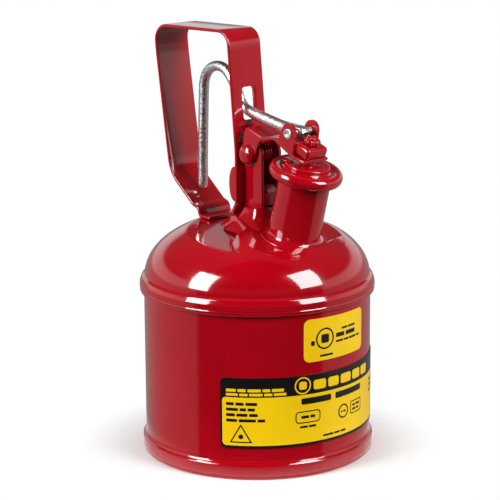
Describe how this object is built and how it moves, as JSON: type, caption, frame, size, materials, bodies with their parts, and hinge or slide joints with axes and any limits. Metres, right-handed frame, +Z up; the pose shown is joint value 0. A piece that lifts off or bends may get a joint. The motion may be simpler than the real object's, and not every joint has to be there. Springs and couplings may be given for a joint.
{
  "type": "safety gas can",
  "caption": "Small round steel safety can with a sprung pour lid, a rod trigger and a flat strap handle.",
  "frame": {"origin": "middle of the footprint of the whole can and handle, on the plane the can stands on; the can's own axis is 2.7 mm in front of it", "axes": "+Z up, +X the way it pours, Y across the handle strap"},
  "size_m": [0.1291, 0.1236, 0.2209],
  "materials": {
    "red_enamel": "gloss powder coat",
    "zinc_plate": "bright zinc plate, lightly grained",
    "screen_steel": "woven wire screen",
    "seal_rubber": "matt",
    "label_film": "satin printed film"
  },
  "bodies": {
    "can": {"body_shell": "red_enamel", "bottom_pan": "red_enamel", "dome_top": "red_enamel", "bracket_foot": "red_enamel", "spout_tube": "red_enamel", "spout_collar": "red_enamel", "arrester_screen": "screen_steel", "arrester_ring": "screen_steel", "hinge_bracket": "red_enamel", "strap_saddle": "red_enamel", "spring_anchor": "red_enamel", "hinge_pin": "red_enamel", "torsion_spring": "red_enamel", "handle_strap": "red_enamel", "main_label": "label_film", "small_label": "label_film"},
    "lever": {"lid_arm": "red_enamel", "lid_saddle": "red_enamel", "trigger_pin": "zinc_plate", "relief_spring": "zinc_plate"},
    "lid": {"lid_cap": "red_enamel", "lid_gasket": "seal_rubber", "gasket_retainer": "zinc_plate", "lid_stud": "red_enamel", "lid_nut": "red_enamel"},
    "trigger": {"trigger_rod": "zinc_plate"}
  },
  "joints": [
    {"name": "lid_hinge", "type": "hinge", "parent": "can", "child": "lever", "pos_m": [0.0051, 0, 0.158], "axis": [0, -1, 0], "range_deg": [0, 22], "stiffness_Nm_per_rad": 0.25, "springref_deg": -34.38, "deforming": ["torsion_spring"]},
    {"name": "lid_relief", "type": "slide", "parent": "lever", "child": "lid", "axis": [0.2504, 0, 0.9681], "range_m": [0, 0.0008], "stiffness_N_per_m": 800, "springref_m": -0.004, "deforming": ["relief_spring"]},
    {"name": "trigger_pivot", "type": "hinge", "parent": "lever", "child": "trigger", "pos_m": [0.0352, 0, 0.1723], "axis": [0, -1, 0], "range_deg": [-17.5, 0]}
  ],
  "couplings": [
    {"joint": "trigger_pivot", "follows": "lid_hinge", "ratio": -0.77}
  ]
}
